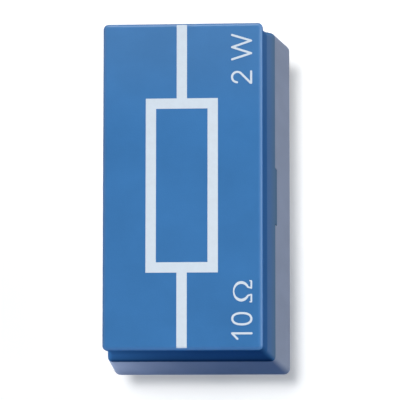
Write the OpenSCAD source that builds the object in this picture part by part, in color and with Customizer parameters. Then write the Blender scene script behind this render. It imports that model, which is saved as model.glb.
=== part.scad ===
// Plug-in resistor module: a blue cover on a translucent tapered housing, with two 4 mm plugs
// underneath and the resistor wired between them inside.
// The origin is the centre of the housing's underside, +Z points to the cover, +Y runs along the length.

/* [Body] */
// Length of the housing at its base
body_length = 49.5; // [46:0.5:56]
// Width of the housing at its base
body_width = 26.3; // [24:0.1:32]
// Height from the underside to the top of the cover
body_height = 34; // [31:0.5:40]
// Height of the cover, from the joint to its top
cover_height = 15; // [13:0.5:17]
// Slope of the housing's walls from the vertical, in degrees
housing_draft = 3.5; // [1:0.1:5]
// Slope of the skirt's lower part from the vertical, in degrees
lower_draft = 6.8; // [3:0.1:8]
// Slope of the skirt's upper part from the vertical, in degrees
upper_draft = 2.9; // [1:0.1:5]
// Height of the skirt's lower part
lower_height = 6.6; // [4:0.1:9]
// Radius of the housing's corners in plan
base_corner_r = 0.9; // [0.5:0.1:1.5]
// Radius of the cover's corners in plan
cover_corner_r = 0.7; // [0.4:0.1:1]
// Chamfer round the housing's lower edge
base_chamfer = 0.3; // [0.1:0.1:0.6]

/* [Walls] */
// Wall of the housing
housing_wall = 2.2; // [2:0.1:2.8]
// Floor of the housing
floor_thickness = 2.4; // [2:0.1:3.2]
// Wall of the cover's skirt
cover_wall = 1.2; // [0.9:0.1:1.4]
// Thickness of the cover's top plate
plate_thickness = 1.6; // [1.3:0.1:2.4]
// How far the top plate stands out past the skirt
plate_overhang = 0.25; // [0.1:0.05:0.4]
// Height of the top plate's vertical rim
rim_height = 1.2; // [1:0.1:1.3]
// Rounding of the top plate's upper edge
edge_round = 0.6; // [0.3:0.05:0.7]

/* [Snap joint] */
// Height of the housing's lip inside the cover
lip_height = 1.6; // [1:0.1:2.5]
// Gap between the parts of the snap joint
joint_gap = 0.1; // [0.05:0.05:0.2]
// Width of the cover's tongue in the middle of each long side
tongue_width = 8; // [5:0.5:12]
// Depth of the tongue below the joint
tongue_depth = 2.2; // [1.5:0.1:3]
// Radius of the snap bead on each tongue
bead_r = 0.35; // [0.2:0.05:0.4]
// Length of the snap bead
bead_length = 5; // [3:0.5:5]
// Thickness of the ribs under the top plate
rib_thickness = 1; // [0.8:0.1:1.4]
// Height of the ribs under the top plate
rib_height = 3; // [1.5:0.5:4]
// Distance of each rib from the middle of the cover
rib_position = 8; // [5:0.5:12]

/* [Printed symbol] */
// Width of the printed lines
line_width = 1.43; // [1:0.01:1.8]
// Length of the symbol's box
symbol_length = 24.15; // [18:0.05:28]
// Width of the symbol's box
symbol_width = 10; // [7:0.1:12]
// How far the print sits from the middle, across the cover
print_shift_x = -0.1; // [-0.3:0.05:0.3]
// How far the symbol's box sits from the middle, along the cover
print_shift_y = 0.1; // [-0.3:0.05:0.3]
// Thickness of the print layer
print_thickness = 0.1; // [0.05:0.05:0.3]
// How far the print stands above the cover
print_proud = 0.02; // [0:0.01:0.05]

/* [Plugs] */
// Distance between the two plugs
plug_spacing = 19; // [15:0.5:22]
// Radius of the plug pins
pin_r = 2; // [1.5:0.1:2]
// Length of the pins below the underside
pin_length = 20; // [14:1:24]
// Width of the cross slot in each pin
slot_width = 0.6; // [0.4:0.1:0.7]
// Length of the cross slot
slot_length = 9; // [6:0.5:10]
// Chamfer at the tip of each pin
tip_chamfer = 0.9; // [0.4:0.1:1]
// Radius of the plug's collar
collar_r = 3.4; // [3:0.1:3.8]
// Thickness of the plug's collar
collar_thickness = 1; // [0.6:0.1:1.4]
// Radius of the stud above the collar
stud_r = 1.5; // [1.25:0.05:1.75]
// Length of stud that shows above the nut
stud_end = 0.8; // [0.4:0.1:1.5]
// Gap round the collar and the stud in the housing
seat_gap = 0.1; // [0.05:0.05:0.2]
// Radius of the boss round each stud
boss_r = 4.2; // [4:0.1:4.6]
// Height of the boss above the floor
boss_height = 0.6; // [0.3:0.1:1]
// Thickness of the web between the bosses
web_thickness = 1.2; // [0.8:0.1:1.6]

/* [Fasteners] */
// Width across the flats of the nuts
nut_flats = 5.5; // [5.5:0.1:6]
// Height of the nuts
nut_height = 2.4; // [1.8:0.1:2.6]
// Outer radius of the lock washers
washer_r = 2.75; // [2.6:0.05:3]
// Thickness of the lock washers
washer_thickness = 0.7; // [0.5:0.1:0.9]
// Width of the split in the lock washers
washer_split = 0.5; // [0.3:0.1:0.8]
// Gap between the stud and what sits on it
thread_gap = 0.05; // [0.03:0.01:0.1]

/* [Solder tags] */
// Thickness of the tags
tag_thickness = 0.5; // [0.4:0.1:0.6]
// Outer radius of the tag's ring
tag_ring_r = 3; // [2.8:0.1:3.4]
// Width of the tag's upright arm
tag_width = 2.6; // [2.4:0.1:3]
// Distance from the stud's axis to the outer face of the upright arm
tag_reach = 4.8; // [4.4:0.1:5.4]
// Inner radius of the tag's bend
tag_bend_r = 0.5; // [0.3:0.1:0.6]
// Radius of the tag's eyelet
eyelet_r = 0.7; // [0.6:0.05:0.8]

/* [Resistor] */
// Height of the resistor's axis above the underside
resistor_z = 9.2; // [9:0.1:10]
// Length of the resistor's body
resistor_length = 11.6; // [9:0.1:12]
// Radius of the resistor's body at its ends
end_r = 2.35; // [2:0.05:2.4]
// Radius of the resistor's body in its middle
waist_r = 2.1; // [1.7:0.05:2.15]
// Length of each thicker end
end_length = 2.6; // [2:0.1:2.8]
// Rounding of the ends
end_round = 0.8; // [0.5:0.1:1]
// Radius of the wire ends
wire_r = 0.4; // [0.3:0.05:0.45]
// Length of wire that stands past each tag
wire_end = 0.9; // [0.7:0.1:1.2]
// Width of each colour band
band_width = 0.9; // [0.6:0.05:0.95]
// Thickness of each colour band
band_thickness = 0.06; // [0.05:0.01:0.1]
// Length of the solder fillet on each side of a tag
solder_length = 0.6; // [0.4:0.1:0.6]
// Radius of the solder where it wets the tag
solder_r = 1.05; // [0.9:0.05:1.1]
// Gap that keeps touching round faces apart
hairline = 0.01; // [0.01:0.01:0.02]

/* [Hidden] */
$fn = 48;
// Least radius of a corner in plan
least_r = 0.05;
// Steps of each corner's arc in plan
arc_steps = 6;
// Steps of the rounding on the top plate's upper edge
round_steps = 5;

// Heights
joint_z = body_height - cover_height;
lip_z = joint_z + lip_height;
tongue_z = joint_z - tongue_depth;
bend_z = joint_z + lower_height;
plate_z = body_height - plate_thickness;
rim_z = body_height - rim_height;
boss_z = floor_thickness + boss_height;
tag_z = boss_z;
washer_z = tag_z + tag_thickness;
nut_z = washer_z + washer_thickness;
stud_z = nut_z + nut_height + stud_end;

// Insets of the outer faces from the outline at the base
joint_inset = joint_z * tan(housing_draft);
plate_inset = skirt_inset(rim_z) - plate_overhang;
plate_length = body_length - 2 * plate_inset;

// Places along the length
plug_y = plug_spacing / 2;
tag_y = plug_y + tag_reach;
flat_end = plate_length / 2 - edge_round;

// The colour bands, from side a to side b
band_step = (resistor_length - 2 * end_length - band_width) / 4 + band_width;
band_y = [for (i = [0 : 4]) (i - 2) * band_step];

// Inset of the skirt's outer face at a height
function skirt_inset(z) =
    joint_inset + (min(z, bend_z) - joint_z) * tan(lower_draft) + max(0, z - bend_z) * tan(upper_draft);

// Points of one corner's arc in plan, then of the whole outline at a height. The outline is set in
// from the base's outline on every side.
function arc_points(x, y, r, start) =
    [for (k = [0 : arc_steps]) let (a = start + 90 * k / arc_steps) [x + r * cos(a), y + r * sin(a)]];

function ring(z, inset, r) =
    let (x = body_width / 2 - inset - r, y = body_length / 2 - inset - r)
    [for (p = concat(arc_points(x, y, r, 0), arc_points(-x, y, r, 90),
        arc_points(-x, -y, r, 180), arc_points(x, -y, r, 270))) [p[0], p[1], z]];

// Solid through a stack of outlines, each given as height, inset and corner radius
module loft(levels) {
    n = 4 * (arc_steps + 1);
    last = (len(levels) - 1) * n;
    sides = [for (i = [0 : len(levels) - 2], k = [0 : n - 1])
        let (a = i * n + k, b = i * n + (k + 1) % n)
        each [[a, a + n, b], [b, a + n, b + n]]];
    polyhedron(
        points = [for (level = levels) each ring(level[0], level[1], level[2])],
        faces = concat([[for (k = [0 : n - 1]) k]], sides, [[for (k = [0 : n - 1]) last + n - 1 - k]])
    );
}

// Block that follows the housing's walls, set in by a wall
module housing_block(z0, z1, wall, r) {
    slope = tan(housing_draft);
    loft([[z0, z0 * slope + wall, r], [z1, z1 * slope + wall, r]]);
}

// Block that follows the cover's skirt, set in by a wall
module skirt_block(z0, z1, wall, r) {
    heights = z1 > bend_z ? [z0, bend_z, z1] : [z0, z1];
    loft([for (z = heights) [z, skirt_inset(z) + wall, r]]);
}

// Outer form of the cover: the skirt, the top plate's rim and its rounded upper edge
module cover_form() {
    loft(concat(
        [
            [joint_z, joint_inset, cover_corner_r],
            [bend_z, skirt_inset(bend_z), cover_corner_r],
            [rim_z, skirt_inset(rim_z), cover_corner_r],
            [rim_z, plate_inset, cover_corner_r]
        ],
        [for (k = [0 : round_steps])
            let (a = 90 * k / round_steps, cut = edge_round * (1 - cos(a)))
            [body_height - edge_round * (1 - sin(a)), plate_inset + cut, max(least_r, cover_corner_r - cut)]]
    ));
}

// Tongue in the middle of each long side, as a layer of the wall. The notch that takes it is the same
// shape with a gap round it, and it runs out through the wall and up past the rim.
module tongue_slab(gap, over) {
    z0 = tongue_z - gap;
    z1 = joint_z + over;
    intersection() {
        difference() {
            housing_block(z0, z1, -over, base_corner_r);
            housing_block(z0, z1, cover_wall + gap, base_corner_r / 2);
        }
        translate([-body_width, -tongue_width / 2 - gap, z0])
            cube([2 * body_width, tongue_width + 2 * gap, z1 - z0]);
    }
}

// Snap bead on the inner face of each tongue
module snap_beads(r, length) {
    z = (tongue_z + joint_z) / 2;
    face = body_width / 2 - z * tan(housing_draft) - cover_wall;
    for (s = [-1, 1])
        translate([s * face, 0, z])
            rotate([90, 0, 0]) cylinder(h = length, r = r, center = true);
}

module cover() {
    color("steelblue") {
        difference() {
            cover_form();
            skirt_block(joint_z, plate_z, cover_wall, cover_corner_r / 2);
            symbol_shape(body_height - print_thickness, print_thickness + print_proud);
        }
        tongue_slab(0, 0);
        snap_beads(bead_r, bead_length);
        cover_ribs();
    }
}

// Ribs across the underside of the top plate
module cover_ribs() {
    z = plate_z - rib_height;
    reach = body_width / 2 - skirt_inset(plate_z) - cover_wall / 2;
    for (s = [-1, 1])
        translate([-reach, s * rib_position - rib_thickness / 2, z])
            cube([2 * reach, rib_thickness, rib_height]);
}

// Box and two leads of the resistor symbol, as a layer of the given depth
module symbol_shape(z, depth) {
    lead_start = (symbol_length - line_width) / 2;
    translate([print_shift_x, 0, z])
        linear_extrude(height = depth) {
            translate([0, print_shift_y])
                difference() {
                    square([symbol_width, symbol_length], center = true);
                    square([symbol_width - 2 * line_width, symbol_length - 2 * line_width], center = true);
                }
            for (s = [-1, 1])
                translate([-line_width / 2, s > 0 ? lead_start : -flat_end])
                    square([line_width, flat_end - lead_start]);
        }
}

module circuit_symbol() {
    color("aliceblue") symbol_shape(body_height - print_thickness, print_thickness + print_proud);
}

module housing() {
    color("lightslategray")
        difference() {
            union() {
                housing_shell();
                housing_lip();
                floor_details();
            }
            tongue_slab(joint_gap, 1);
            snap_beads(bead_r + joint_gap, bead_length + 2 * joint_gap);
            for (s = [-1, 1])
                translate([0, s * plug_y, 0]) {
                    translate([0, 0, -1])
                        cylinder(h = collar_thickness + 1, r = collar_r + seat_gap);
                    cylinder(h = boss_z + 1, r = stud_r + seat_gap);
                }
        }
}

// Outer shell of the housing, open at the top
module housing_shell() {
    difference() {
        loft([
            [0, base_chamfer, base_corner_r],
            [base_chamfer, base_chamfer * tan(housing_draft), base_corner_r],
            [joint_z, joint_inset, cover_corner_r]
        ]);
        housing_block(floor_thickness, joint_z, housing_wall, base_corner_r);
    }
}

// Lip round the rim that the cover's skirt slides over
module housing_lip() {
    difference() {
        skirt_block(joint_z, lip_z, cover_wall + joint_gap, cover_corner_r / 2);
        skirt_block(joint_z, lip_z, housing_wall, cover_corner_r / 2);
    }
}

// Bosses round the studs, and the web that ties them together and to the long walls
module floor_details() {
    reach = body_width / 2 - boss_z * tan(housing_draft) - housing_wall / 2;
    for (s = [-1, 1])
        translate([0, s * plug_y, floor_thickness / 2]) {
            cylinder(h = boss_z - floor_thickness / 2, r = boss_r);
            translate([-reach, -web_thickness / 2, 0])
                cube([2 * reach, web_thickness, boss_z - floor_thickness / 2]);
        }
    translate([-web_thickness / 2, -plug_y, floor_thickness / 2])
        cube([web_thickness, plug_spacing, boss_z - floor_thickness / 2]);
}

// Cross-slotted pin, collar and stud, turned as one piece
module plug() {
    color("silver")
        difference() {
            rotate_extrude() plug_profile();
            for (a = [0, 90])
                rotate([0, 0, a])
                    translate([-slot_width / 2, -pin_r - 1, -pin_length - 1])
                        cube([slot_width, 2 * pin_r + 2, slot_length + 1]);
        }
}

module plug_profile() {
    polygon([
        [0, -pin_length],
        [pin_r - tip_chamfer, -pin_length],
        [pin_r, -pin_length + tip_chamfer],
        [pin_r, 0],
        [collar_r, 0],
        [collar_r, collar_thickness],
        [stud_r, collar_thickness],
        [stud_r, stud_z - stud_r / 4],
        [stud_r * 3 / 4, stud_z],
        [0, stud_z]
    ]);
}

// Solder tag: a ring on the stud, and an arm bent up to an eyelet
module tag() {
    outer_r = tag_bend_r + tag_thickness;
    bend_y = tag_reach - outer_r;
    head_r = tag_width / 2;
    color("gainsboro")
        difference() {
            union() {
                translate([0, 0, tag_z]) {
                    cylinder(h = tag_thickness, r = tag_ring_r);
                    translate([-head_r, 0, 0]) cube([tag_width, bend_y, tag_thickness]);
                }
                translate([0, bend_y, tag_z + outer_r]) tag_bend(outer_r);
                translate([-head_r, tag_reach - tag_thickness, tag_z + outer_r])
                    cube([tag_width, tag_thickness, resistor_z - tag_z - outer_r]);
                translate([0, tag_reach, resistor_z])
                    rotate([90, 0, 0]) cylinder(h = tag_thickness, r = head_r);
            }
            cylinder(h = stud_z, r = stud_r + thread_gap);
            translate([0, tag_reach + 1, resistor_z])
                rotate([90, 0, 0]) cylinder(h = tag_thickness + 2, r = eyelet_r);
        }
}

// Quarter bend of the tag's strip
module tag_bend(outer_r) {
    intersection() {
        rotate([0, 90, 0])
            difference() {
                cylinder(h = tag_width, r = outer_r, center = true);
                cylinder(h = tag_width + 2, r = tag_bend_r, center = true);
            }
        translate([-tag_width, 0, -outer_r]) cube([2 * tag_width, outer_r, outer_r]);
    }
}

module washer() {
    color("darkgray")
        difference() {
            translate([0, 0, washer_z]) cylinder(h = washer_thickness, r = washer_r);
            cylinder(h = stud_z, r = stud_r + thread_gap);
            translate([-washer_split / 2, -washer_r - 1, washer_z - 1])
                cube([washer_split, washer_r + 1, washer_thickness + 2]);
        }
}

// Hex nut with both faces chamfered at the corners
module nut() {
    corner_r = nut_flats / 2 / cos(30);
    bevel = (corner_r - nut_flats / 2) * tan(30);
    color("silver")
        translate([0, 0, nut_z])
            difference() {
                intersection() {
                    cylinder(h = nut_height, r = corner_r, $fn = 6);
                    rotate_extrude()
                        polygon([
                            [0, 0],
                            [nut_flats / 2, 0],
                            [corner_r, bevel],
                            [corner_r, nut_height - bevel],
                            [nut_flats / 2, nut_height],
                            [0, nut_height]
                        ]);
                }
                translate([0, 0, -1]) cylinder(h = nut_height + 2, r = stud_r + thread_gap);
            }
}

// Lays a shape that stands along Z along the resistor's axis
module on_axis(y) {
    translate([0, y, resistor_z]) rotate([-90, 0, 0]) children();
}

// Disc with its far edge rounded, standing on the XY plane
module rounded_end() {
    rotate_extrude() {
        square([end_r - end_round, end_length]);
        square([end_r, end_length - end_round]);
        intersection() {
            translate([end_r - end_round, end_length - end_round]) circle(end_round);
            square([end_r, end_length]);
        }
    }
}

module resistor_body() {
    middle = resistor_length - 2 * end_length;
    color("lightsteelblue")
        difference() {
            union() {
                on_axis(-middle / 2) cylinder(h = middle, r = waist_r);
                on_axis(middle / 2) rounded_end();
                mirror([0, 1, 0]) on_axis(middle / 2) rounded_end();
            }
            for (y = band_y) band(y, band_thickness + hairline, 1, hairline);
        }
}

// One colour band round the resistor's waist, sunk by depth and standing out by proud
module band(y, depth, proud, play) {
    on_axis(y - band_width / 2 - play)
        difference() {
            cylinder(h = band_width + 2 * play, r = waist_r + proud);
            translate([0, 0, -1]) cylinder(h = band_width + 2, r = waist_r - depth);
        }
}

module bands_brown() {
    color("saddlebrown")
        for (i = [0, 4]) band(band_y[i], band_thickness, 0, 0);
}

module bands_black() {
    color("black")
        for (i = [1, 2]) band(band_y[i], band_thickness, 0, 0);
}

module band_gold() {
    color("goldenrod") band(band_y[3], band_thickness, 0, 0);
}

module resistor_lead() {
    start = resistor_length / 2;
    color("silver") on_axis(start) cylinder(h = tag_y + wire_end - start, r = wire_r);
}

// Solder through the eyelet, with a fillet on each side of the tag
module solder() {
    hole_r = eyelet_r - hairline;
    tip_r = wire_r + 0.1;
    color("lightgray")
        difference() {
            union() {
                on_axis(tag_y - tag_thickness) cylinder(h = tag_thickness, r = hole_r);
                on_axis(tag_y) cylinder(h = solder_length, r1 = solder_r, r2 = tip_r);
                on_axis(tag_y - tag_thickness - solder_length)
                    cylinder(h = solder_length, r1 = tip_r, r2 = solder_r);
            }
            on_axis(tag_y - tag_reach) cylinder(h = 2 * tag_reach, r = wire_r + hairline);
        }
}

// Puts a piece on side a or side b
module side_a() { translate([0, plug_y, 0]) children(); }
module side_b() { mirror([0, 1, 0]) translate([0, plug_y, 0]) children(); }

cover();
housing();
circuit_symbol();
side_a() plug();  // plug_a
side_b() plug();  // plug_b
side_a() tag();  // tag_a
side_b() tag();  // tag_b
side_a() washer();  // washer_a
side_b() washer();  // washer_b
side_a() nut();  // nut_a
side_b() nut();  // nut_b
resistor_body();
resistor_lead();  // resistor_lead_a
mirror([0, 1, 0]) resistor_lead();  // resistor_lead_b
bands_brown();
bands_black();
band_gold();
solder();  // solder_a
mirror([0, 1, 0]) solder();  // solder_b
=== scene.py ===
import math
import bpy
import bmesh
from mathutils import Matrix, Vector


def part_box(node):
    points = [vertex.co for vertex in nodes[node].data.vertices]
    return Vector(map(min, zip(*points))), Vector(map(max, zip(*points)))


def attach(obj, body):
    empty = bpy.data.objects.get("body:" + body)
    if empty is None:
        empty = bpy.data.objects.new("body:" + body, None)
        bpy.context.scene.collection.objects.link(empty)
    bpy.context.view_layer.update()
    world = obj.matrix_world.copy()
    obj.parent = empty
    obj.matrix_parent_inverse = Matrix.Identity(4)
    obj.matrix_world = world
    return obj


# Plug-in resistor module: finishes, the printed value and rating, light, floor and camera.
# Lengths are in metres.

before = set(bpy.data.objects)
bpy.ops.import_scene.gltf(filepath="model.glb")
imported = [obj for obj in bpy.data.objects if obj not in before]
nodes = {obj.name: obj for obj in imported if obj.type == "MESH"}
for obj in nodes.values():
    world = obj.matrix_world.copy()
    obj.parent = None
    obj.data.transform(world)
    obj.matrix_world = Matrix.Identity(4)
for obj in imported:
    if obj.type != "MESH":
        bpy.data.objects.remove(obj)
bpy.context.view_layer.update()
scene = bpy.context.scene

# Sizes read from the CAD model
LOW, HIGH = 0, 1
TOP_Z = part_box("cover")[HIGH].z
PLUG_TIP_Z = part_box("plug_a")[LOW].z
symbol_low, symbol_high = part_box("circuit_symbol")

# Sizes as set in the CAD source: the height where the skirt's slope changes, the rounding of the
# cover's top edge, and the place and width of the symbol's leads
BEND_Z = 0.0256
EDGE_RADIUS = 0.0006
LEAD_X = -0.0001
LEAD_WIDTH = 0.00143

WHITE = (1.0, 1.0, 1.0)


# Colours

def linear(r, g, b):
    """An sRGB colour given in 0 to 255, as linear values."""
    def one(c):
        c /= 255
        return c / 12.92 if c <= 0.04045 else ((c + 0.055) / 1.055) ** 2.4
    return one(r), one(g), one(b)


def shade(color, factor):
    return tuple(min(1.0, c * factor) for c in color)


# Node helpers. Each adds to the material's or the world's node tree and returns an output socket.

# Places of the Mix node's colour sockets, whose names its other data types share
MIX_FIRST, MIX_SECOND, MIX_RESULT = 6, 7, 2


def texture_coords(tree, kind):
    return tree.nodes.new("ShaderNodeTexCoord").outputs[kind]


def axis_part(tree, vector, axis):
    node = tree.nodes.new("ShaderNodeSeparateXYZ")
    tree.links.new(vector, node.inputs["Vector"])
    return node.outputs[axis]


def noise(tree, coords, scale, detail, roughness=0.5, stretch=None):
    """Noise in object space. stretch scales the coordinates first."""
    if stretch:
        mapping = tree.nodes.new("ShaderNodeMapping")
        mapping.inputs["Scale"].default_value = stretch
        tree.links.new(coords, mapping.inputs["Vector"])
        coords = mapping.outputs["Vector"]
    node = tree.nodes.new("ShaderNodeTexNoise")
    node.inputs["Scale"].default_value = scale
    node.inputs["Detail"].default_value = detail
    node.inputs["Roughness"].default_value = roughness
    tree.links.new(coords, node.inputs["Vector"])
    return node.outputs["Fac"]


def ramp(tree, value, stops):
    """Colour ramp through the given (position, colour) stops."""
    node = tree.nodes.new("ShaderNodeValToRGB")
    elements = node.color_ramp.elements
    while len(elements) < len(stops):
        elements.new(0.5)
    for element, (position, color) in zip(elements, stops):
        element.position = position
        element.color = (*color, 1.0)
    tree.links.new(value, node.inputs["Fac"])
    return node.outputs["Color"]


def grey_ramp(tree, value, stops):
    """The value led through the given (position, value) stops."""
    return ramp(tree, value, [(position, (level,) * 3) for position, level in stops])


def mottled(tree, tone, color, darkest, lightest, span=(0.3, 0.7)):
    """The colour times its darkest to its lightest factor, as the tone crosses the span."""
    return ramp(tree, tone, [(span[0], shade(color, darkest)), (span[1], shade(color, lightest))])


def map_range(tree, value, to_low, to_high, from_low=0.0, from_high=1.0, shape="LINEAR"):
    """The value mapped from one range to another, and held at its ends."""
    node = tree.nodes.new("ShaderNodeMapRange")
    node.interpolation_type = shape
    node.inputs["From Min"].default_value = from_low
    node.inputs["From Max"].default_value = from_high
    node.inputs["To Min"].default_value = to_low
    node.inputs["To Max"].default_value = to_high
    tree.links.new(value, node.inputs["Value"])
    return node.outputs["Result"]


def calculate(tree, operation, *values):
    node = tree.nodes.new("ShaderNodeMath")
    node.operation = operation
    for socket, value in zip(node.inputs, values):
        tree.links.new(value, socket)
    return node.outputs["Value"]


def blend(tree, mask, amount, color, other):
    """The colour with up to that amount of another one mixed in where the mask is 1."""
    node = tree.nodes.new("ShaderNodeMix")
    node.data_type = "RGBA"
    tree.links.new(map_range(tree, mask, 0.0, amount), node.inputs["Factor"])
    tree.links.new(color, node.inputs[MIX_FIRST])
    node.inputs[MIX_SECOND].default_value = (*other, 1.0)
    return node.outputs[MIX_RESULT]


def below(tree, coords, height, softness):
    """1 below a height and 0 above it."""
    return map_range(tree, axis_part(tree, coords, "Z"), 1.0, 0.0,
                     height - softness, height + softness)


def tilted(tree, stops):
    """A value that follows how far the surface is turned away, through (position, value) stops."""
    facing = tree.nodes.new("ShaderNodeLayerWeight")
    facing.inputs["Blend"].default_value = 0.5
    return grey_ramp(tree, facing.outputs["Facing"], stops)


def rounded_edge(tree):
    """1 on the rounding between a flat top and upright sides, and 0 on both."""
    upwards = axis_part(tree, texture_coords(tree, "Normal"), "Z")
    return grey_ramp(tree, upwards, [(0.15, 0.0), (0.3, 1.0), (0.95, 1.0), (0.99, 0.0)])


def walls_across(tree, axis):
    """1 on the upright faces that look along an axis, to either side, and 0 on the others."""
    sideways = axis_part(tree, texture_coords(tree, "Normal"), axis)
    return grey_ramp(tree, calculate(tree, "ABSOLUTE", sideways), [(0.7, 0.0), (0.97, 1.0)])


# Materials

def new_material(name):
    """A material with a Principled shader, and its node tree."""
    mat = bpy.data.materials.new(name)
    mat.use_nodes = True
    tree = mat.node_tree
    return mat, tree, tree.nodes["Principled BSDF"]


def set_values(shader, **values):
    """Constant shader values. Underscores in the names stand for spaces."""
    for name, value in values.items():
        shader.inputs[name.replace("_", " ")].default_value = value


def set_texture(tree, shader, color, rough, rough_range, height, depth):
    """Links a colour, a roughness that varies within a range, and a bump of that depth."""
    tree.links.new(color, shader.inputs["Base Color"])
    tree.links.new(map_range(tree, rough, *rough_range), shader.inputs["Roughness"])
    node = tree.nodes.new("ShaderNodeBump")
    node.inputs["Distance"].default_value = depth
    node.inputs["Strength"].default_value = 1.0
    tree.links.new(height, node.inputs["Height"])
    tree.links.new(node.outputs["Normal"], shader.inputs["Normal"])


# Where the painted light that makes the cover paler along +Y starts, and where it is palest
REAR_PAINTED_LIGHT = (0.006, 0.0235)


def cover_with_painted_light(tree, coords, color):
    """The cover's colour with painted light and painted shade blended in as other tones, each by
    its mask and amount.
    """
    sides, ends = walls_across(tree, "X"), walls_across(tree, "Y")
    # Painted light: the cover turns paler towards its rear
    rear = map_range(tree, axis_part(tree, coords, "Y"), 0.0, 1.0, *REAR_PAINTED_LIGHT, "SMOOTHSTEP")
    # Colour of the painted shade on the short ends
    joint_shade_tone = linear(10, 30, 70)

    def low_part(walls, height, softness):
        """The part of these walls below a height, with a soft border that reaches so far."""
        return calculate(tree, "MULTIPLY", walls, below(tree, coords, height, softness))

    for mask, amount, tone in (
        # Long sides: painted light that stands for how they are lit, a little bluer, then paler
        # below the bend, and duller towards the joint
        (sides, 0.1, linear(85, 121, 255)),
        (low_part(sides, BEND_Z, 0.0004), 0.11, linear(210, 224, 215)),
        (low_part(sides, BEND_Z - 0.0042, 0.0022), 0.2, linear(127, 137, 20)),
        # Short ends: painted shade, darker in their lower half, and darkest along the joint
        (low_part(ends, 0.0225, 0.0028), 0.4, joint_shade_tone),
        (low_part(ends, 0.0209, 0.0007), 0.55, joint_shade_tone),
        # Everything towards the rear: slightly paler, as painted light
        (rear, 0.04, linear(200, 225, 240)),
    ):
        color = blend(tree, mask, amount, color, tone)
    return color


def moulded_blue():
    """Opaque blue cover: fine moulded texture, slow changes of tone, painted light and shade on its
    walls and towards its rear, and polished upper edges.
    """
    mat, tree, shader = new_material("moulded_blue")
    coords = texture_coords(tree, "Object")
    tone = noise(tree, coords, scale=140, detail=4, roughness=0.6)
    color = mottled(tree, tone, linear(64, 121, 178), darkest=0.94, lightest=1.05)
    set_texture(tree, shader, cover_with_painted_light(tree, coords, color),
                rough=noise(tree, coords, scale=900, detail=3, roughness=0.6),
                rough_range=(0.38, 0.5),
                height=noise(tree, coords, scale=4500, detail=2), depth=0.000012)
    edge = calculate(tree, "MINIMUM", rounded_edge(tree), tilted(tree, [(0.35, 0.68), (0.6, 0.0)]))
    walls = tilted(tree, [(0.04, 0.0), (0.14, 0.1), (0.55, 0.1), (0.75, 0.0)])
    tree.links.new(calculate(tree, "MAXIMUM", edge, walls), shader.inputs["Coat Weight"])
    set_values(shader, Specular_IOR_Level=0.0, Coat_Roughness=0.42, Coat_IOR=1.8)
    return mat


def murky_plastic():
    """Translucent grey-blue housing, with faint upright flow marks."""
    mat, tree, shader = new_material("murky_plastic")
    coords = texture_coords(tree, "Object")
    tone = noise(tree, coords, scale=260, detail=2, stretch=(1.0, 1.0, 0.2))
    color = mottled(tree, tone, linear(175, 187, 213), darkest=0.96, lightest=1.045)
    set_texture(tree, shader, color,
                rough=noise(tree, coords, scale=250, detail=1, stretch=(1.0, 1.0, 0.15)),
                rough_range=(0.45, 0.55),
                height=noise(tree, coords, scale=160, detail=1, stretch=(1.0, 1.0, 0.3)),
                depth=0.000003)
    tree.links.new(tilted(tree, [(0.55, 0.35), (0.75, 0.0)]), shader.inputs["Coat Weight"])
    set_values(shader, Transmission_Weight=0.05, IOR=1.49, Specular_IOR_Level=0.0,
               Coat_Roughness=0.2)
    return mat


def white_ink():
    """Printed white with the slightly uneven cover of a screen print."""
    mat, tree, shader = new_material("white_ink")
    coords = texture_coords(tree, "Object")
    tone = noise(tree, coords, scale=700, detail=4, roughness=0.6)
    color = mottled(tree, tone, linear(200, 212, 223), 0.95, 1.03, span=(0.25, 0.6))
    set_texture(tree, shader, color, rough=tone, rough_range=(0.42, 0.55),
                height=noise(tree, coords, scale=3500, detail=2), depth=0.000008)
    return mat


def turned_metal(name, color, rough_range, stretch=None):
    """Plated metal with turning marks. stretch sets the way they run."""
    mat, tree, shader = new_material(name)
    coords = texture_coords(tree, "Object")
    marks = noise(tree, coords, scale=2500, detail=4, roughness=0.7, stretch=stretch)
    color = mottled(tree, marks, color, 0.9, 1.05, span=(0.2, 0.8))
    set_texture(tree, shader, color, marks, rough_range, height=marks, depth=0.000006)
    set_values(shader, Metallic=1.0)
    return mat


def lacquer(name, color, metallic=0.0):
    """Glossy lacquer with slight unevenness, for the resistor and its bands."""
    mat, tree, shader = new_material(name)
    tone = noise(tree, texture_coords(tree, "Object"), scale=800, detail=3)
    color = mottled(tree, tone, color, 0.9, 1.08)
    set_texture(tree, shader, color, tone, (0.25, 0.38), height=tone, depth=0.00002)
    set_values(shader, Metallic=metallic)
    return mat


# Turning marks that run round an upright axis, and marks that run along Y
ROUND_Z = (0.05, 0.05, 1.0)
ALONG_Y = (1.0, 0.05, 1.0)

# The finish of each CAD node, by how the node's name starts
finishes = {
    "cover": moulded_blue(),
    "housing": murky_plastic(),
    "circuit_symbol": white_ink(),
    "plug": turned_metal("nickel_pin", linear(212, 209, 200), (0.2, 0.32), ROUND_Z),
    "tag": turned_metal("tinned_tag", linear(205, 205, 202), (0.35, 0.5)),
    "washer": turned_metal("zinc_washer", linear(160, 162, 166), (0.35, 0.5)),
    "nut": turned_metal("nickel_nut", linear(208, 205, 196), (0.25, 0.36), ROUND_Z),
    "resistor_body": lacquer("resistor_lacquer", linear(150, 180, 200)),
    "resistor_lead": turned_metal("tinned_wire", linear(205, 205, 200), (0.25, 0.4), ALONG_Y),
    "bands_brown": lacquer("brown_lacquer", linear(92, 50, 26)),
    "bands_black": lacquer("black_lacquer", linear(20, 20, 22)),
    "band_gold": lacquer("gold_lacquer", linear(190, 150, 70), metallic=0.8),
    "solder": turned_metal("solder", linear(190, 190, 190), (0.3, 0.45)),
}

for node_name, node_object in nodes.items():
    finish = next(mat for start, mat in finishes.items() if node_name.startswith(start))
    node_object.data.materials.clear()
    node_object.data.materials.append(finish)


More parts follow.
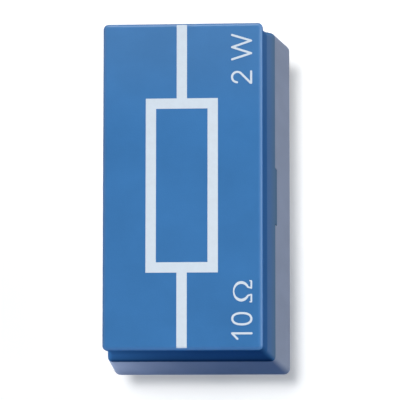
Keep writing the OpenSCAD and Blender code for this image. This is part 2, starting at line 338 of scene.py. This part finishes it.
# Printed value and rating: strokes of ink with rounded ends. Each glyph is drawn in a box one unit
# high, as a list of (points, width, closed), and lies on the cover with its top towards -X.

GLYPH_HEIGHT = 0.00302
BASELINE_X = 0.0097
# How deep the ink starts in the cover, how thick it is, and the step from one solid to the next
INK_SINK = 0.00001
INK_THICKNESS = 0.00003
LAYER = 0.0000015
# Width of a stroke, and the height of its middle at the baseline and at the cap height
STROKE = 0.096
FOOT_Y = 0.063
CAP_Y = 0.937


def arc(center, radius_x, radius_y, start, end, steps=28, power=2.0):
    """Points on an ellipse, angles in degrees. A power above 2 squares the ellipse off a little."""
    def reach(share):
        return math.copysign(abs(share) ** (2 / power), share)
    angles = (math.radians(start + (end - start) * k / steps) for k in range(steps + 1))
    return [Vector((center[0] + radius_x * reach(math.cos(angle)),
                    center[1] + radius_y * reach(math.sin(angle)))) for angle in angles]


def line(*points):
    return [Vector(p) for p in points]


def glyph_one():
    return [(line((0.315, 0.06), (0.315, 0.94)), STROKE, False),
            (line((0.065, 0.7), (0.3, 0.93)), STROKE * 0.95, False)]


def glyph_zero():
    return [(arc((0.345, 0.5), 0.256, 0.432, 0, 360, steps=48, power=2.3)[:-1], STROKE, True)]


def glyph_two():
    bowl = arc((0.345, 0.695), 0.24, 0.243, 176, -40, steps=24)
    return [(bowl + line((0.075, 0.09)), STROKE, False),
            (line((0.07, FOOT_Y), (0.6, FOOT_Y)), STROKE, False)]


def glyph_w():
    corners = line((0.083, CAP_Y), (0.362, FOOT_Y), (0.648, CAP_Y), (0.943, FOOT_Y), (1.212, CAP_Y))
    return [([a, b], STROKE, False) for a, b in zip(corners, corners[1:])]


def glyph_omega():
    """The ring is thick at its sides and thin at its top, and stands on two feet with serifs."""
    center, radius_x, radius_y = (0.528, 0.525), 0.4, 0.345
    thin, swell = 0.062, 0.068
    foot_y, foot, serif = 0.066, 0.075, 0.055
    ring = arc(center, radius_x, radius_y, -60, 240, steps=44)
    widths = [thin + swell * abs((p.x - center[0]) / radius_x) ** 1.5 for p in ring]
    ring = line((0.675, 0.08)) + ring + line((0.381, 0.08))
    return [(ring, [0.06] + widths + [0.06], False),
            (line((0.06, foot_y), (0.375, foot_y)), foot, False),
            (line((0.675, foot_y), (0.99, foot_y)), foot, False),
            (line((0.045, 0.07), (0.048, 0.13)), serif, False),
            (line((1.005, 0.07), (1.002, 0.13)), serif, False)]


def stroke_sides(points, widths, closed):
    """Left and right edge of a stroke through the points."""
    left, right = [], []
    count = len(points)
    for i, point in enumerate(points):
        before = points[i - 1] if i > 0 or closed else point
        after = points[(i + 1) % count] if i < count - 1 or closed else point
        along = (after - before).normalized()
        normal = Vector((-along.y, along.x)) * widths[i] / 2
        left.append(point + normal)
        right.append(point - normal)
    return left, right


def add_bar(mesh, rows, closed=False):
    """A bar through rows of four corners, in the order low left, low right, top left, top right."""
    pairs = list(zip(rows, rows[1:])) + ([(rows[-1], rows[0])] if closed else [])
    for r, s in pairs:
        for face in ((r[2], r[3], s[3], s[2]), (r[1], r[0], s[0], s[1]),
                     (r[0], r[2], s[2], s[0]), (r[3], r[1], s[1], s[3])):
            mesh.faces.new(face)
    if not closed:
        first, last = rows[0], rows[-1]
        mesh.faces.new((first[0], first[1], first[3], first[2]))
        mesh.faces.new((last[2], last[3], last[1], last[0]))


class InkMesh:
    """Collects thin closed solids on the cover's top, each a little higher than the one before."""

    def __init__(self, start_y):
        self.mesh = bmesh.new()
        self.start_y = start_y
        self.layers = 0

    def vertex(self, point, z):
        return self.mesh.verts.new((BASELINE_X - point.y * GLYPH_HEIGHT,
                                    self.start_y + point.x * GLYPH_HEIGHT, z))

    def levels(self):
        self.layers += 1
        return TOP_Z - INK_SINK, TOP_Z + INK_THICKNESS + self.layers * LAYER

    def strip(self, left, right, closed):
        levels = self.levels()
        add_bar(self.mesh, [[self.vertex(p, z) for z in levels for p in pair]
                            for pair in zip(left, right)], closed)

    def disc(self, center, diameter, steps=16):
        low, high = self.levels()
        rim = arc(center, diameter / 2, diameter / 2, 0, 360, steps)[:-1]
        bottom = [self.vertex(p, low) for p in rim]
        top = [self.vertex(p, high) for p in rim]
        self.mesh.faces.new(top)
        self.mesh.faces.new(bottom[::-1])
        for i in range(steps):
            j = (i + 1) % steps
            self.mesh.faces.new((bottom[i], bottom[j], top[j], top[i]))

    def stroke(self, points, width, closed):
        widths = width if isinstance(width, list) else [width] * len(points)
        self.strip(*stroke_sides(points, widths, closed), closed)
        if not closed:
            self.disc(points[0], widths[0])
            self.disc(points[-1], widths[-1])


def add_ink(name, mesh):
    """Makes a piece of white print from a bmesh."""
    bmesh.ops.recalc_face_normals(mesh, faces=mesh.faces)
    data = bpy.data.meshes.new(name)
    mesh.to_mesh(data)
    mesh.free()
    obj = bpy.data.objects.new(name, data)
    scene.collection.objects.link(obj)
    data.materials.append(finishes["circuit_symbol"])
    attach(obj, "root")


def ink_glyph(name, strokes, start_y):
    """One printed glyph, starting at a place along +Y."""
    ink = InkMesh(start_y)
    for points, width, closed in strokes:
        ink.stroke(points, width, closed)
    add_ink(name, ink.mesh)


ink_glyph("ink_one", glyph_one(), start_y=-0.02131)
ink_glyph("ink_zero", glyph_zero(), start_y=-0.0194)
ink_glyph("ink_omega", glyph_omega(), start_y=-0.01619)
ink_glyph("ink_two", glyph_two(), start_y=0.01402)
ink_glyph("ink_w", glyph_w(), start_y=0.01729)


# Where the symbol's leads run on over the rounded edge of the cover

def lead_end(name, flat_end, degrees, steps=8):
    """A strip of ink that follows the rounding down from the end of a lead."""
    side = math.copysign(1, flat_end)
    proud = symbol_high.z - TOP_Z
    mesh = bmesh.new()
    rows = []
    for k in range(steps + 1):
        turn = math.radians(degrees * k / steps)
        row = []
        for radius in (EDGE_RADIUS - INK_SINK, EDGE_RADIUS + proud):
            y = flat_end + side * radius * math.sin(turn)
            z = TOP_Z - EDGE_RADIUS + radius * math.cos(turn)
            row += [mesh.verts.new((LEAD_X + half * LEAD_WIDTH / 2, y, z)) for half in (-1, 1)]
        rows.append(row)
    add_bar(mesh, rows)
    add_ink(name, mesh)


lead_end("ink_lead_rear", symbol_high.y, degrees=38)
lead_end("ink_lead_front", symbol_low.y, degrees=26)


# Floor

# The floor lies just under the tips of the plugs
FLOOR_GAP = 0.0002
FLOOR_Z = PLUG_TIP_Z - FLOOR_GAP
FLOOR_HALF = 1.2
# Reflectance for the light that bounces onto the object, and for what is seen of the floor
FLOOR_BOUNCE = 0.04
FLOOR_TONE = 1.0
# Glow that is only seen, which brings the floor up to white
FLOOR_LIFT = 0.15


def seen_by(tree, *kinds):
    """1 for rays of these kinds, and 0 for the light that bounces onto the object."""
    path = tree.nodes.new("ShaderNodeLightPath")
    total = path.outputs[kinds[0]]
    for kind in kinds[1:]:
        total = calculate(tree, "MAXIMUM", total, path.outputs[kind])
    return total


def floor_material():
    """Pale floor that comes out white where it is lit, and keeps the object's shadow."""
    mat, tree, shader = new_material("pale_floor")
    direct = seen_by(tree, "Is Camera Ray", "Is Glossy Ray", "Is Transmission Ray")
    tone = map_range(tree, direct, FLOOR_BOUNCE, FLOOR_TONE)
    tree.links.new(tone, shader.inputs["Base Color"])
    set_values(shader, Roughness=0.9, Specular_IOR_Level=0.0, Emission_Color=(*WHITE, 1.0))
    glow = map_range(tree, direct, 0.0, FLOOR_LIFT)
    tree.links.new(glow, shader.inputs["Emission Strength"])
    return mat


def make_floor():
    corners = [(x * FLOOR_HALF, y * FLOOR_HALF, FLOOR_Z)
               for x, y in ((-1, -1), (1, -1), (1, 1), (-1, 1))]
    data = bpy.data.meshes.new("floor")
    data.from_pydata(corners, [], [(0, 1, 2, 3)])
    obj = bpy.data.objects.new("floor", data)
    scene.collection.objects.link(obj)
    data.materials.append(floor_material())


make_floor()


# Light: a soft main light above, weaker ones around, and a small card by the front left corner

LIGHT_TARGET = (0, 0, 0.02)
CARD_TARGET = (-0.013, -0.0247, 0.017)


def area_light(name, location, target, size, watts, color):
    data = bpy.data.lights.new(name, "AREA")
    data.shape = "RECTANGLE"
    data.size, data.size_y = size
    data.energy = watts
    data.color = color
    obj = bpy.data.objects.new(name, data)
    obj.location = location
    direction = Vector(target) - Vector(location)
    obj.rotation_euler = direction.to_track_quat("-Z", "Y").to_euler()
    scene.collection.objects.link(obj)
    return obj


for light in (
    # Name, place, target, width and height, watts, colour
    ("overhead", (-0.008, 0.02, 1.0), LIGHT_TARGET, (0.11, 0.11), 6.45, WHITE),
    ("right_high", (0.6, 0.1, 0.68), LIGHT_TARGET, (0.7, 0.7), 1.0, (0.93, 0.97, 1.0)),
    ("right_low", (0.8, 0.2, 0.14), LIGHT_TARGET, (0.7, 0.28), 2.85, (0.95, 0.97, 1.0)),
    ("back_strip", (-0.07, 0.8, 0.32), LIGHT_TARGET, (0.25, 0.5), 2.6, WHITE),
    ("left", (-0.9, 0.3, 0.12), LIGHT_TARGET, (0.6, 0.3), 0.5, WHITE),
    ("front", (-0.2, -0.9, 0.2), LIGHT_TARGET, (1.0, 0.6), 2.2, (0.08, 0.4, 1.0)),
):
    area_light(*light)
card = area_light("corner_card", (-0.02, -0.031, 0.017), CARD_TARGET, (0.006, 0.03), 0.0017, WHITE)
card.visible_camera = False


# World: nearly no light on the object, more in its gloss, and white behind it

WORLD_LIGHT = 0.03
WORLD_GLOSS = 0.4
WORLD_SEEN = 1.0


def make_world():
    world = bpy.data.worlds.new("studio")
    world.use_nodes = True
    scene.world = world
    tree = world.node_tree
    light, seen = tree.nodes["Background"], tree.nodes.new("ShaderNodeBackground")
    for background in (light, seen):
        background.inputs["Color"].default_value = (*WHITE, 1.0)
    strength = map_range(tree, seen_by(tree, "Is Glossy Ray"), WORLD_LIGHT, WORLD_GLOSS)
    tree.links.new(strength, light.inputs["Strength"])
    seen.inputs["Strength"].default_value = WORLD_SEEN
    mix = tree.nodes.new("ShaderNodeMixShader")
    tree.links.new(seen_by(tree, "Is Camera Ray", "Is Transmission Ray"), mix.inputs["Fac"])
    tree.links.new(light.outputs["Background"], mix.inputs[1])
    tree.links.new(seen.outputs["Background"], mix.inputs[2])
    tree.links.new(mix.outputs["Shader"], tree.nodes["World Output"].inputs["Surface"])


make_world()


# Camera: above and to the side, aimed so that the object lies in the frame as in the photograph

CAMERA_OFFSET = Vector((0.03329, -0.04023, 0.37633))
CAMERA_TILT = (0.10103, 0.08175, 0.00062)
FOCAL_PX = 2755.7
IMAGE_PX = 400.0
SENSOR_MM = 36.0
CLIP_NEAR, CLIP_FAR = 0.01, 10


def make_camera():
    data = bpy.data.cameras.new("camera")
    data.sensor_width = SENSOR_MM
    data.sensor_fit = "HORIZONTAL"
    data.lens = FOCAL_PX * SENSOR_MM / IMAGE_PX
    data.clip_start, data.clip_end = CLIP_NEAR, CLIP_FAR
    obj = bpy.data.objects.new("camera", data)
    obj.location = Vector((0, 0, TOP_Z)) + CAMERA_OFFSET
    obj.rotation_mode = "XYZ"
    obj.rotation_euler = CAMERA_TILT
    scene.collection.objects.link(obj)
    scene.camera = obj


make_camera()

scene.view_settings.view_transform = "Standard"
